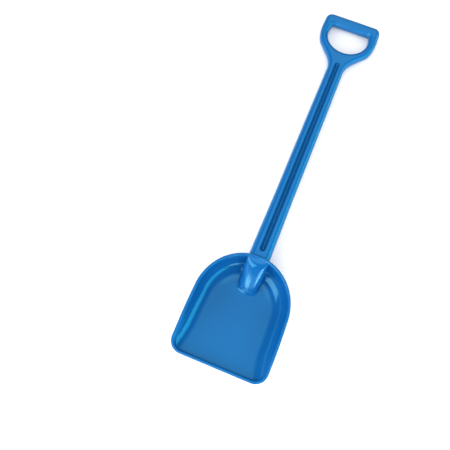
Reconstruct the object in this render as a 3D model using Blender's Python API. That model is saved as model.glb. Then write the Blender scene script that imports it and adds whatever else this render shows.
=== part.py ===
"""Child's plastic shovel: a moulded scoop, a moulded D-grip handle plugged into it, and two screws.

The shovel lies face up, as it rests on a table: +X across it, +Y from the scoop to the grip, +Z up.
All sizes are in metres. The modelling functions measure y from the scoop's front edge, and
place() moves the finished mesh so that the origin is at the bottom centre of the whole shovel.
"""
import math

import bmesh
import bpy
import numpy as np

# Overall size
LENGTH = 0.550
HALF_WIDTH = 0.0675

# Scoop outline, seen from above: straight front, gently tapering sides, half an ellipse at the back
CORNER_RADIUS = 0.018
ARC_START_Y = 0.088
ARC_HALF_WIDTH = 0.0661
ARC_DEPTH = 0.0705
BLADE_END_Y = ARC_START_Y + ARC_DEPTH
SIDE_WIDEST_Y = 0.038

# Scoop section
RIM_Z = 0.0365
RIM_WIDTH = 0.0040
BEAD_HEIGHT = 0.0034
BEAD_ROUND = 0.0016
WALL = 0.0028
LIP_DEPTH = 0.0080
HEEL_Y = 0.100
HEEL_BLEND = 0.0030
FILLET_REACH = 0.034
FILLET_SCALE = 0.0288
FILLET_POWER = 3.0
FILLET_LIMIT = 0.004
STEEP_WIDTHS = (0.0030, 0.0012)
STEEP_WIDTHS_IN = (0.0, 0.020)
FULL_FILLET_SHARE = 0.95
FAR_FRONT_Y = -0.060
FLOOR_CENTRE_Y = 0.062
FLOOR_CENTRE_SHARE = 0.25
FLOOR_SHRINK_XS = (0.0, 0.0185, 0.0675)
FLOOR_SHRINK = (0.787, 0.787, 0.42)

# Hump over the handle's end
HUMP_HALF_WIDTH = 0.0155
HUMP_NARROWING = 0.037
HUMP_TOP_Z = 0.0347
HUMP_TOP_SLOPE = 0.10
HUMP_BEND_Y = 0.1460
HUMP_START_SLOPE = 0.74
HUMP_STEEPENING = 2.6
HUMP_DOME = 0.0078
HUMP_DOME_LIMIT = 0.98
HUMP_SIDE_SLOPE = 6.0
HUMP_BEND_BLEND = 0.0026
HUMP_ROOT_BLEND = 0.0025
HUMP_FOOT_BLEND = 0.0065
HUMP_FOOT_YS = (0.106, 0.120)

# Socket under the hump
SOCKET_FLOOR_Z = 0.0120
SOCKET_TOP_Z = 0.0327
SOCKET_FRONT_Y = 0.1245
SOCKET_SIDE_INSET = 0.0006
SOCKET_ROOF_DROP = 0.008
SOCKET_FRONT_HEIGHT = 0.002
SOCKET_LEVEL_SETBACK = 0.008
SOCKET_SLOPE_SETBACK = 0.0035

# Tenon on the handle
TENON_HALF_WIDTH = 0.0121
TENON_TOP_Z = 0.0308
TENON_BOTTOM_Z = 0.0153
TENON_TIP_Y = 0.132
TENON_ROOT_Y = 0.166
TENON_DOME = 0.0065
TENON_CREST_DROP = 0.0042
FIT_GAP = 0.0003

# Handle
SHAFT_START_THICKNESS = 0.020
GRIP_THICKNESS = 0.0155
EDGE_ROUND_SHARE = 0.40
SHAFT_START_CENTRE_Z = 0.0242
RIM_FOLLOW_LENGTH = 0.03
SHAFT_WIDTHS_Y = (0.158, 0.200, 0.250, 0.350, 0.400, 0.462)
SHAFT_WIDTHS = (0.0300, 0.0290, 0.0275, 0.0265, 0.0258, 0.0246)
THROAT_Y = 0.462
GRIP_LEVEL_Y = 0.480

# D-shaped grip
GRIP_HALF_WIDTH = 0.0427
GRIP_WIDEST_Y = 0.527
GRIP_WIDEST_BEND_Y = 0.5145
THROAT_BEND = (0.0255, 0.4878)
GRIP_FLANK = (0.0363, 0.5008)
GRIP_FLANK_BEND = (0.0397, 0.5053)
GRIP_CORNER_RADIUS = 0.0095
HOLE_BOTTOM_Y = 0.4948
HOLE_WIDEST_Y = 0.521
HOLE_TOP_Y = 0.5338
HOLE_HALF_WIDTH = 0.0304
HOLE_CORNER_RADIUS = 0.0045

# Groove along the shaft, front and back
GROOVE_START_Y = 0.166
GROOVE_END_Y = 0.4750
GROOVE_START_WIDTH = 0.0082
GROOVE_END_WIDTH = 0.0076
GROOVE_DEPTH_SHARE = 0.36
GROOVE_ROUND_ANGLES = (24, 54, 80)
GROOVE_EDGE = 0.0006

# Screws
SCREW_YS = {"rear_socket_screw": 0.1500, "front_socket_screw": 0.1390}
SCREW_SHANK_RADIUS = 0.00175
SCREW_SHANK_LENGTH = 0.0105
SCREW_HEAD_RADIUS = 0.0035
SCREW_HEAD_HEIGHT = 0.0022
SCREW_HEAD_ROUND = 0.0012
SCREW_SLOT_WIDTH = 0.0009
SCREW_SLOT_LENGTH = 0.0042
SCREW_SLOT_DEPTH = 0.0011
SCREW_SIDES = 24

# Mesh steps
OUTSIDE_ROWS = (1.0, 0.75, 0.45, 0.2)
FRONT_STEPS = 5
CORNER_STEPS = 5
SIDE_STEPS = 6
ARC_STEPS = 12
HUMP_XS = (0.0185, 0.0165, 0.0152, 0.0141, 0.0120, 0.0085, 0.0045, 0.0)
WALL_ROWS = (0.0, 0.01, 0.026, 0.048, 0.078, 0.125, 0.20, 0.30, 0.43, 0.60, 0.80, 1.0)
FLOOR_ROWS = (0.20, 0.42, 0.70, 1.0)
SHAFT_ROWS = 14
EDGE_STEPS = 3
THROAT_STEPS = 8
GRIP_SIDE_STEPS = 4
GRIP_CORNER_STEPS = 4
GRIP_TOP_STEPS = 5


# ---------------------------------------------------------------- shared helpers

def smooth_max(a, b, blend):
    """Larger of a and b, rounded off where they differ by less than blend."""
    share = np.maximum(blend - np.abs(a - b), 0.0) / blend
    return np.maximum(a, b) + share * share * blend / 4


def smooth_min(a, b, blend):
    """Smaller of a and b, rounded off where they differ by less than blend."""
    return -smooth_max(-a, -b, blend)


def bezier(p0, p1, p2, p3, steps):
    """Points of a cubic curve, without its first point."""
    t = np.linspace(0.0, 1.0, steps + 1)[1:, None]
    p0, p1, p2, p3 = (np.array(p) for p in (p0, p1, p2, p3))
    return (1 - t) ** 3 * p0 + 3 * (1 - t) ** 2 * t * p1 + 3 * (1 - t) * t * t * p2 + t ** 3 * p3


def arc(centre, radius, start_deg, end_deg, steps):
    """Points of a circular arc, without its first point."""
    angles = np.radians(np.linspace(start_deg, end_deg, steps + 1)[1:])
    return np.stack([centre[0] + radius * np.cos(angles), centre[1] + radius * np.sin(angles)], 1)


def distance_to_outline(points, outline):
    """Distance from each point to the nearest place on a closed outline."""
    start = outline
    along = np.roll(outline, -1, axis=0) - start
    offset = points[:, None, :] - start[None, :, :]
    share = np.clip((offset * along).sum(2) / (along * along).sum(1), 0.0, 1.0)
    return np.linalg.norm(offset - share[:, :, None] * along, axis=2).min(1)


def add_object(name, vertices, faces, material, smooth_angle=40):
    """Make a mesh object from points whose y counts from the front edge."""
    mesh = bpy.data.meshes.new(name)
    mesh.from_pydata([tuple(map(float, v)) for v in vertices], [], faces)
    mesh.shade_smooth()
    mesh.set_sharp_from_angle(angle=math.radians(smooth_angle))
    obj = bpy.data.objects.new(name, mesh)
    bpy.context.scene.collection.objects.link(obj)
    if material:
        mesh.materials.append(material)
    return obj


def ring_faces(first, second, count):
    """Quads between two closed rings of vertices that start at the given indices."""
    return [(first + i, first + (i + 1) % count, second + (i + 1) % count, second + i) for i in range(count)]


def stack_rings(rings):
    """Closed solid through a list of rings, capped at both ends."""
    count = len(rings[0])
    faces = [tuple(reversed(range(count)))]
    for level in range(len(rings) - 1):
        faces += ring_faces(level * count, (level + 1) * count, count)
    last = (len(rings) - 1) * count
    faces.append(tuple(range(last, last + count)))
    return np.concatenate(rings), faces


def apply_boolean(obj, operation, tool):
    """Join or cut obj with tool, and remove the tool."""
    modifier = obj.modifiers.new(operation.lower(), "BOOLEAN")
    modifier.operation = operation
    modifier.solver = "EXACT"
    modifier.object = tool
    bpy.context.view_layer.update()
    evaluated = obj.evaluated_get(bpy.context.evaluated_depsgraph_get())
    result = bpy.data.meshes.new_from_object(evaluated)
    obj.modifiers.clear()
    obj.data = result
    bpy.data.objects.remove(tool)


def place(obj):
    """Move the mesh from front-edge distances to the shovel's own origin."""
    for vertex in obj.data.vertices:
        vertex.co.y -= LENGTH / 2


def plastic(name, colour, roughness):
    """Opaque moulded plastic."""
    material = bpy.data.materials.new(name)
    material.use_nodes = True
    shader = material.node_tree.nodes["Principled BSDF"]
    shader.inputs["Base Color"].default_value = (*colour, 1.0)
    shader.inputs["Roughness"].default_value = roughness
    return material


def steel(name):
    """Zinc-plated screw steel."""
    material = plastic(name, (0.62, 0.62, 0.60), 0.35)
    material.node_tree.nodes["Principled BSDF"].inputs["Metallic"].default_value = 1.0
    return material


# ---------------------------------------------------------------- scoop

def side_x(y, inset):
    """Half-width of the scoop's near-parallel side."""
    taper = (HALF_WIDTH - ARC_HALF_WIDTH) * ((y - SIDE_WIDEST_Y) / (ARC_START_Y - SIDE_WIDEST_Y)) ** 2
    return HALF_WIDTH - inset - (taper if y > SIDE_WIDEST_Y else 0.0)


def rear_y(x, inset=0.0):
    """Y of the scoop's rounded back edge at x."""
    ratio = x / (ARC_HALF_WIDTH - inset)
    return ARC_START_Y + (ARC_DEPTH - inset) * math.sqrt(1 - ratio * ratio)


def scoop_outline(inset, finer=1):
    """Closed outline of the scoop, drawn in by inset, from the front centre round by +X."""
    flat = HALF_WIDTH - CORNER_RADIUS
    half = [(flat * i / FRONT_STEPS, inset) for i in range(FRONT_STEPS + 1)]
    half += arc((flat, CORNER_RADIUS), CORNER_RADIUS - inset, -90, 0, CORNER_STEPS * finer).tolist()
    for y in np.linspace(CORNER_RADIUS, ARC_START_Y, SIDE_STEPS * finer + 1)[1:]:
        half.append((side_x(y, inset), y))
    end_angle = math.acos(HUMP_XS[0] / ARC_HALF_WIDTH)
    for angle in np.linspace(0, end_angle, ARC_STEPS * finer + 1)[1:-1]:
        x = (ARC_HALF_WIDTH - inset) * math.cos(angle)
        half.append((x, rear_y(x, inset)))
    half += [(x, rear_y(x, inset)) for x in HUMP_XS]
    mirrored = [(-x, y) for x, y in reversed(half[1:-1])]
    return np.array(half + mirrored)


def floor_height(y):
    """Upper face of the flat floor, rising from the heel to the lip."""
    rise = (RIM_Z - LIP_DEPTH - WALL) / (HEEL_Y - RIM_WIDTH)
    return smooth_max(WALL + rise * (HEEL_Y - y), WALL + 0.0 * y, HEEL_BLEND)


def fillet_height(depth_in):
    """Height of the wide curve between floor and wall, running straight on near the rim."""
    share = 1 - np.clip(depth_in, FILLET_LIMIT, FILLET_REACH) / FILLET_REACH
    rest = 1 - share ** FILLET_POWER
    height = FILLET_SCALE * (1 - rest ** (1 / FILLET_POWER))
    top_share = 1 - FILLET_LIMIT / FILLET_REACH
    top_rest = 1 - top_share ** FILLET_POWER
    slope = top_share ** (FILLET_POWER - 1) * top_rest ** (1 / FILLET_POWER - 1)
    slope *= FILLET_SCALE / FILLET_REACH
    return height + slope * np.maximum(FILLET_LIMIT - depth_in, 0.0)


def scoop_height(y, side_in, depth_in):
    """Upper face of the scoop without the hump.

    side_in is the distance from the sides and the back, depth_in the distance from the whole rim.
    """
    floor = floor_height(y)
    depth = RIM_Z - BEAD_ROUND - floor
    full = fillet_height(np.zeros(1))
    fillet = fillet_height(side_in) * np.minimum(FULL_FILLET_SHARE * depth / full, 1.0)
    steep = np.clip(1 - depth_in / np.interp(side_in, STEEP_WIDTHS_IN, STEEP_WIDTHS), 0.0, 1.0) ** 2
    return floor + fillet + (depth - fillet) * steep


def hump_half_width(y):
    """The hump narrows a little towards the front."""
    return HUMP_HALF_WIDTH - HUMP_NARROWING * (rear_y(0.0, RIM_WIDTH) - y)


def crest_height(y):
    """Height of the hump's crest line below the bend, steeper and steeper towards the foot."""
    run = HUMP_BEND_Y - y
    return HUMP_TOP_Z - HUMP_START_SLOPE * run - HUMP_STEEPENING * run * np.maximum(run, 0.0)


def hump_height(x, y):
    """Upper face of the hump: flat behind the bend, then a domed slope down to the floor."""
    share = np.abs(x) / hump_half_width(y)
    dome = HUMP_DOME * (1 - np.sqrt(1 - np.minimum(share, HUMP_DOME_LIMIT) ** 2))
    side = HUMP_SIDE_SLOPE * np.maximum(share - HUMP_DOME_LIMIT, 0.0) * hump_half_width(y)
    top = HUMP_TOP_Z - HUMP_TOP_SLOPE * (BLADE_END_Y - RIM_WIDTH - y)
    return smooth_min(top - side, crest_height(y) - dome - side, HUMP_BEND_BLEND)


def root_blend(y):
    """Width of the fillet round the hump, widest at its foot."""
    return np.interp(y, HUMP_FOOT_YS, (HUMP_FOOT_BLEND, HUMP_ROOT_BLEND))


def side_outline():
    """Inner edge of the rim along the sides and the back, carried on far in front of the scoop."""
    rim = scoop_outline(RIM_WIDTH, finer=4)
    rim = rim[rim[:, 1] >= CORNER_RADIUS]
    half = HALF_WIDTH - RIM_WIDTH
    return np.concatenate([[(half, FAR_FRONT_Y)], rim, [(-half, FAR_FRONT_Y)]])


def scoop_rows():
    """Rows of points on the upper and the lower face, from the rim to the middle of the floor."""
    start = scoop_outline(RIM_WIDTH)
    rim, sides = scoop_outline(RIM_WIDTH, finer=4), side_outline()
    shrink = np.interp(np.abs(start[:, 0]), FLOOR_SHRINK_XS, FLOOR_SHRINK)
    end_y = FLOOR_CENTRE_Y + FLOOR_CENTRE_SHARE * (start[:, 1] - FLOOR_CENTRE_Y)
    end = np.stack([start[:, 0] * shrink, end_y], 1)
    reach = np.minimum(FILLET_REACH / np.linalg.norm(end - start, axis=1), 0.9)
    shares = [reach * w for w in WALL_ROWS] + [reach + (1 - reach) * f for f in FLOOR_ROWS]
    upper, lower = [], []
    for share in shares:
        flat = start + (end - start) * share[:, None]
        x, y = flat[:, 0], flat[:, 1]
        side_in, depth_in = distance_to_outline(flat, sides), distance_to_outline(flat, rim)
        z = smooth_max(scoop_height(y, side_in, depth_in), hump_height(x, y), root_blend(y))
        upper.append(np.stack([x, y, z], 1))
        lower.append(np.stack([x, y, underside(x, y, side_in, depth_in)], 1))
    return upper, lower


def underside(x, y, side_in, depth_in):
    """Lower face of the whole scoop, kept under the rolled rim."""
    z = smooth_max(scoop_underside(y, side_in, depth_in), hump_underside(x, y), root_blend(y))
    return np.minimum(z, RIM_Z - BEAD_HEIGHT)


def scoop_underside(y, side_in, depth_in):
    """Lower face of the scoop without the hump, one wall below the upper face all along."""
    nearest = np.arcsin(np.clip(-depth_in / WALL, 0.0, 1.0))
    lowest = np.full(len(y), np.inf)
    for share in np.linspace(0, 1, 24):
        angle = nearest + (math.pi / 2 - nearest) * share
        step = WALL * np.sin(angle)
        above = scoop_height(y, np.maximum(side_in + step, 0.0), np.maximum(depth_in + step, 0.0))
        lowest = np.minimum(lowest, above - WALL * np.cos(angle))
    return lowest


def hump_underside(x, y):
    """Lower face of the hump, one wall below its upper face."""
    lowest = np.full(len(y), np.inf)
    for angle in np.linspace(0, math.pi / 2, 8):
        for turn in np.linspace(0, 2 * math.pi, 12, endpoint=False):
            step = WALL * math.sin(angle)
            above = hump_height(x + step * math.cos(turn), y + step * math.sin(turn))
            lowest = np.minimum(lowest, above - WALL * math.cos(angle))
    return lowest


def bead_rings():
    """Rounded rim, from its lower outer edge over the top to its inner edge."""
    profile = [(BEAD_ROUND, -BEAD_HEIGHT), (0.0, BEAD_ROUND - BEAD_HEIGHT), (0.0, -BEAD_ROUND)]
    profile += [(0.3 * BEAD_ROUND, -0.3 * BEAD_ROUND), (BEAD_ROUND, 0.0), (RIM_WIDTH - BEAD_ROUND, 0.0)]
    profile.append((RIM_WIDTH - 0.3 * BEAD_ROUND, -0.3 * BEAD_ROUND))
    rings = []
    for inset, rise in profile:
        ring = scoop_outline(inset)
        rings.append(np.column_stack([ring, np.full(len(ring), RIM_Z + rise)]))
    return rings


def scoop_shell(material):
    """Thin-walled scoop with its rolled rim and the hollow hump."""
    upper, lower = scoop_rows()
    outside = []
    for share in OUTSIDE_ROWS:
        ring = scoop_outline(RIM_WIDTH - WALL * share)
        x, y = ring[:, 0], ring[:, 1]
        side_in = np.where(y < CORNER_RADIUS, HALF_WIDTH - RIM_WIDTH - np.abs(x), -WALL * share)
        z = underside(x, y, side_in, np.full(len(ring), -WALL * share))
        outside.append(np.column_stack([ring, z]))
    vertices, faces = stack_rings(list(reversed(outside + lower)) + bead_rings() + upper)
    return add_object("blade", vertices, faces, material)


def socket_block():
    """Solid under the hump, in which the socket is cut."""
    level_y = HUMP_BEND_Y + SOCKET_LEVEL_SETBACK
    slope_y = HUMP_BEND_Y + SOCKET_SLOPE_SETBACK
    rings = []
    for side in np.linspace(-1, 1, 9):
        back_half = HUMP_HALF_WIDTH - SOCKET_SIDE_INSET
        back_y = rear_y(side * back_half) - FIT_GAP
        section = [(back_y, SOCKET_FLOOR_Z), (back_y, SOCKET_TOP_Z), (level_y, SOCKET_TOP_Z)]
        section.append((slope_y, crest_height(slope_y) - SOCKET_ROOF_DROP))
        lowest_top = SOCKET_FLOOR_Z + SOCKET_FRONT_HEIGHT
        front_top = max(crest_height(SOCKET_FRONT_Y) - SOCKET_ROOF_DROP, lowest_top)
        section.append((SOCKET_FRONT_Y, front_top))
        section.append((SOCKET_FRONT_Y, SOCKET_FLOOR_Z))
        ring = []
        for y, z in section:
            half = min(hump_half_width(y), HUMP_HALF_WIDTH) - SOCKET_SIDE_INSET
            ring.append((side * half, y, z))
        rings.append(np.array(ring))
    vertices, faces = stack_rings(rings)
    return add_object("socket_block", vertices, faces, None)


def tenon_solid(gap, back_y):
    """Handle's end, or with a gap around it the space for it in the socket."""
    half = TENON_HALF_WIDTH + gap
    tip_y = TENON_TIP_Y - gap
    bend_y = HUMP_BEND_Y - 0.001
    rows_y = [tip_y] + list(np.linspace(tip_y, bend_y, 4)[1:]) + [back_y]
    rings = []
    for y in rows_y:
        top = []
        for side in np.linspace(-1, 1, 13):
            narrowing = HUMP_NARROWING * max(HUMP_BEND_Y - y, 0.0)
            x = side * (half - narrowing)
            dome = TENON_DOME * (1 - math.sqrt(1 - min(abs(side), HUMP_DOME_LIMIT) ** 2))
            crest = min(crest_height(y) - TENON_CREST_DROP + gap, TENON_TOP_Z + gap)
            top.append((x, y, max(crest - dome, TENON_BOTTOM_Z + 0.001)))
        bottom = [(-top[0][0], y, TENON_BOTTOM_Z - gap), (top[0][0], y, TENON_BOTTOM_Z - gap)]
        rings.append(np.array(top + bottom))
    vertices, faces = stack_rings(rings)
    return add_object("tenon", vertices, faces, None)


def screw_hole(y):
    """Clearance for one screw's shank, through the socket floor and into the tenon."""
    radius = SCREW_SHANK_RADIUS + FIT_GAP
    low = SOCKET_FLOOR_Z - 0.002
    high = SOCKET_FLOOR_Z - FIT_GAP + SCREW_SHANK_LENGTH + FIT_GAP
    angles = np.linspace(0, 2 * math.pi, SCREW_SIDES, endpoint=False)
    circle = np.column_stack([radius * np.cos(angles), y + radius * np.sin(angles)])
    rings = [np.column_stack([circle, np.full(SCREW_SIDES, z)]) for z in (low, high)]
    vertices, faces = stack_rings(rings)
    return add_object("screw_hole", vertices, faces, None)


def make_blade():
    """Scoop with the socket that takes the handle."""
    blade = scoop_shell(plastic("blade_plastic", (0.02, 0.22, 0.60), 0.28))
    apply_boolean(blade, "UNION", socket_block())
    apply_boolean(blade, "DIFFERENCE", tenon_solid(FIT_GAP, TENON_ROOT_Y))
    for y in SCREW_YS.values():
        apply_boolean(blade, "DIFFERENCE", screw_hole(y))
    place(blade)


# ---------------------------------------------------------------- handle

def shaft_half_width(y):
    """Half-width of the tapering shaft."""
    return float(np.interp(y, SHAFT_WIDTHS_Y, SHAFT_WIDTHS)) / 2


def thickness(y):
    """Thickness of the handle, front to back."""
    return np.interp(y, [BLADE_END_Y, THROAT_Y], [SHAFT_START_THICKNESS, GRIP_THICKNESS])


def centre_z(y):
    """Height of the handle's middle plane: it slopes down to the grip, which lies level."""
    drop = (SHAFT_START_CENTRE_Z - GRIP_THICKNESS / 2) / (GRIP_LEVEL_Y - BLADE_END_Y)
    sloping = SHAFT_START_CENTRE_Z - drop * (y - BLADE_END_Y)
    return smooth_max(sloping, GRIP_THICKNESS / 2 + 0.0 * y, 0.001)


def grip_outer_half():
    """Outer edge of the throat and the D on the +X side, from the throat to the top centre."""
    throat = (shaft_half_width(THROAT_Y), THROAT_Y)
    points = [np.array([throat])]
    throat_bend = (throat[0], GRIP_LEVEL_Y)
    points.append(bezier(throat, throat_bend, THROAT_BEND, GRIP_FLANK, THROAT_STEPS))
    widest = (GRIP_HALF_WIDTH, GRIP_WIDEST_Y)
    widest_bend = (GRIP_HALF_WIDTH, GRIP_WIDEST_BEND_Y)
    points.append(bezier(GRIP_FLANK, GRIP_FLANK_BEND, widest_bend, widest, GRIP_SIDE_STEPS))
    corner = (GRIP_HALF_WIDTH - GRIP_CORNER_RADIUS - 0.0005, LENGTH - GRIP_CORNER_RADIUS)
    points.append(arc(corner, GRIP_CORNER_RADIUS, 0, 90, GRIP_CORNER_STEPS))
    top = np.linspace(corner[0], 0.0, GRIP_TOP_STEPS + 1)[1:]
    points.append(np.column_stack([top, np.full(len(top), LENGTH)]))
    return np.concatenate(points)


def hole_half(count):
    """Edge of the hand hole on the +X side, from the bottom centre to the top centre."""
    fine = []
    depth = HOLE_WIDEST_Y - HOLE_BOTTOM_Y
    for angle in np.linspace(0, math.pi / 2, 60):
        fine.append((HOLE_HALF_WIDTH * math.sin(angle), HOLE_WIDEST_Y - depth * math.cos(angle)))
    corner = (HOLE_HALF_WIDTH - HOLE_CORNER_RADIUS - 0.0012, HOLE_TOP_Y - HOLE_CORNER_RADIUS)
    fine += arc(corner, HOLE_CORNER_RADIUS, 0, 90, 20).tolist()
    fine += [(x, HOLE_TOP_Y) for x in np.linspace(corner[0], 0, 30)[1:]]
    fine = np.array(fine)
    run = np.concatenate([[0], np.cumsum(np.linalg.norm(np.diff(fine, axis=0), axis=1))])
    wanted = np.linspace(0, run[-1], count)
    return np.column_stack([np.interp(wanted, run, fine[:, 0]), np.interp(wanted, run, fine[:, 1])])


def edge_shares():
    """Steps across a rounded edge, from 0 at the edge to 1 where the face turns flat."""
    return [1 - math.cos(math.pi / 2 * i / EDGE_STEPS) for i in range(EDGE_STEPS + 1)]


def shaft_row(y):
    """X of the points across the shaft, from the centre to the +X edge."""
    half = shaft_half_width(y)
    edge = EDGE_ROUND_SHARE * thickness(y)
    return [0.0, (half - edge) / 2] + [half - edge * s for s in reversed(edge_shares())]


def shaft_plan():
    """Rows of points across the +X half of the shaft; the first one follows the scoop's rim."""
    half_rows = []
    for y in np.linspace(BLADE_END_Y, THROAT_Y, SHAFT_ROWS + 1):
        relax = max(1 - (y - BLADE_END_Y) / RIM_FOLLOW_LENGTH, 0.0)
        row = []
        for x in shaft_row(y):
            sag = relax * (rear_y(0.0) - rear_y(x)) - FIT_GAP * relax
            row.append((x, y - sag))
        half_rows.append(row)
    return np.array(half_rows)


def grip_plan():
    """Stations round the +X half of the D, each a line from the hand hole to the outer edge."""
    shaft_top = [(x, THROAT_Y) for x in shaft_row(THROAT_Y)[:-1]]
    outer = np.concatenate([np.array(shaft_top), grip_outer_half()])
    inner = hole_half(len(outer))
    edge = EDGE_ROUND_SHARE * GRIP_THICKNESS
    shares = edge_shares()
    stations = []
    for hole_point, outer_point in zip(inner, outer):
        span = np.linalg.norm(outer_point - hole_point)
        reach = min(edge, span / 2) / span
        steps = [reach * s for s in shares] + [1 - reach * s for s in reversed(shares)]
        stations.append([hole_point + (outer_point - hole_point) * s for s in steps])
    return np.array(stations)


def handle_outlines():
    """Outer edge of the handle and edge of the hand hole, for measuring the rounded edges."""
    ys = np.linspace(ARC_START_Y, THROAT_Y, 60)[:-1]
    side = np.array([(shaft_half_width(y), y) for y in ys])
    outer = np.concatenate([side, grip_outer_half()])
    outer = np.concatenate([outer, outer[::-1][1:] * [-1, 1]])
    hole = hole_half(120)
    return outer, np.concatenate([hole, hole[::-1][1:-1] * [-1, 1]])


def plan_quads(grids):
    """Points and upward quads of the plan grids and of their mirror images across x = 0."""
    points = []
    index = {}

    def vertex(x, y):
        key = (round(x, 6), round(y, 6))
        if key not in index:
            index[key] = len(points)
            points.append(key)
        return index[key]

    quads = []
    for mirror in (1, -1):
        for grid in grids:
            ids = [[vertex(mirror * p[0], p[1]) for p in row] for row in grid]
            for a, b in zip(ids, ids[1:]):
                for i in range(len(a) - 1):
                    quad = (a[i], a[i + 1], b[i + 1], b[i])
                    quads.append(quad if mirror == 1 else tuple(reversed(quad)))
    return np.array(points), quads


def make_handle_body(material):
    """Shaft, throat and D in one closed solid with rounded edges."""
    flat, quads = plan_quads([shaft_plan(), grip_plan()])
    outer, hole_outline = handle_outlines()
    depth_in = np.minimum(distance_to_outline(flat, outer), distance_to_outline(flat, hole_outline))
    half = thickness(flat[:, 1]) / 2
    edge = 2 * EDGE_ROUND_SHARE * half
    rise = half - edge + np.sqrt(edge ** 2 - np.maximum(edge - depth_in, 0.0) ** 2)
    middle = centre_z(flat[:, 1])
    front = np.column_stack([flat, middle + rise])
    back = np.column_stack([flat, middle - rise])
    count = len(flat)
    faces = list(quads) + [tuple(i + count for i in reversed(q)) for q in quads]
    directed = {(a, b) for quad in quads for a, b in zip(quad, quad[1:] + quad[:1])}
    for a, b in sorted(directed):
        if (b, a) not in directed:
            faces.append((b, a, a + count, b + count))
    return add_object("handle", np.concatenate([front, back]), faces, material)


def groove_cutter(side):
    """Slot with round ends and softened edges, for the front (+1) or the back (-1)."""
    end_steps = 6
    rings = []
    levels = [(1.0, GROOVE_EDGE), (0.0, GROOVE_EDGE), (-0.3, 0.3 * GROOVE_EDGE), (-1.0, 0.0)]
    outline = []
    start_half, end_half = GROOVE_START_WIDTH / 2, GROOVE_END_WIDTH / 2
    for angle in np.linspace(-180, 0, 2 * end_steps + 1):
        outline.append((start_half, GROOVE_START_Y + start_half, math.radians(angle)))
    for angle in np.linspace(0, 180, 2 * end_steps + 1):
        outline.append((end_half, GROOVE_END_Y - end_half, math.radians(angle)))

    def ring(grow, depth):
        points = []
        for radius, centre_y, angle in outline:
            x = (radius + grow) * math.cos(angle)
            y = centre_y + (radius + grow) * math.sin(angle)
            face = thickness(y) / 2
            points.append((x, y, centre_z(y) + side * (face - depth(y))))
        return np.array(points)

    for level, grow in levels:
        rings.append(ring(grow, lambda y, level=level: -level * GROOVE_EDGE))
    for angle in np.radians(GROOVE_ROUND_ANGLES):
        inward = GROOVE_END_WIDTH / 2 * (1 - math.cos(angle))
        rings.append(ring(-inward, lambda y, down=math.sin(angle): GROOVE_DEPTH_SHARE * thickness(y) * down))
    if side > 0:
        rings.reverse()
    vertices, faces = stack_rings(rings)
    return add_object("groove", vertices, faces, None)


def make_handle():
    """D-grip, grooved shaft and tenon in one piece."""
    handle = make_handle_body(plastic("handle_plastic", (0.02, 0.24, 0.64), 0.28))
    apply_boolean(handle, "UNION", tenon_solid(0.0, TENON_ROOT_Y))
    for side in (1, -1):
        apply_boolean(handle, "DIFFERENCE", groove_cutter(side))
    for y in SCREW_YS.values():
        apply_boolean(handle, "DIFFERENCE", screw_hole(y))
    place(handle)


# ---------------------------------------------------------------- screws

def make_screw(name, y, material):
    """Pan-head screw pointing up, with a cross recess in the head below."""
    top = SOCKET_FLOOR_Z - FIT_GAP
    profile = [(SCREW_HEAD_RADIUS - SCREW_HEAD_ROUND, -SCREW_HEAD_HEIGHT)]
    profile += [(SCREW_HEAD_RADIUS - 0.3 * SCREW_HEAD_ROUND, -SCREW_HEAD_HEIGHT + 0.3 * SCREW_HEAD_ROUND)]
    profile += [(SCREW_HEAD_RADIUS, -SCREW_HEAD_HEIGHT + SCREW_HEAD_ROUND), (SCREW_HEAD_RADIUS, 0.0)]
    profile += [(SCREW_SHANK_RADIUS, 0.0), (SCREW_SHANK_RADIUS, SCREW_SHANK_LENGTH - 0.002)]
    profile.append((0.0006, SCREW_SHANK_LENGTH))
    angles = np.linspace(0, 2 * math.pi, SCREW_SIDES, endpoint=False)
    rings = []
    for radius, z in profile:
        circle = [radius * np.cos(angles), y + radius * np.sin(angles), np.full(SCREW_SIDES, top + z)]
        rings.append(np.column_stack(circle))
    vertices, faces = stack_rings(rings)
    screw = add_object(name, vertices, faces, material)
    for turned in (False, True):
        size = (SCREW_SLOT_LENGTH, SCREW_SLOT_WIDTH)
        half_x, half_y = (s / 2 for s in (size[::-1] if turned else size))
        signs = ((-1, -1), (1, -1), (1, 1), (-1, 1))
        corners = np.array([(a * half_x, y + b * half_y) for a, b in signs])
        low = top - SCREW_HEAD_HEIGHT
        rings = [np.column_stack([corners, np.full(4, z)]) for z in (low - 0.001, low + SCREW_SLOT_DEPTH)]
        vertices, faces = stack_rings(rings)
        apply_boolean(screw, "DIFFERENCE", add_object("slot", vertices, faces, None))
    place(screw)


def main():
    for obj in list(bpy.data.objects):
        bpy.data.objects.remove(obj)
    make_blade()
    make_handle()
    screw_steel = steel("screw_steel")
    for name, y in SCREW_YS.items():
        make_screw(name, y, screw_steel)


main()
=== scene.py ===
"""Fine surfaces, moulded-plastic materials, light and camera for the toy shovel.

The four pieces stand where the CAD model has them. Lengths are in metres. The shaping functions
measure y from the scoop's front edge, and add_mesh() moves the points to the frame's origin.
"""
import math

import bpy
import numpy as np
from mathutils import Matrix, Vector


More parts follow.
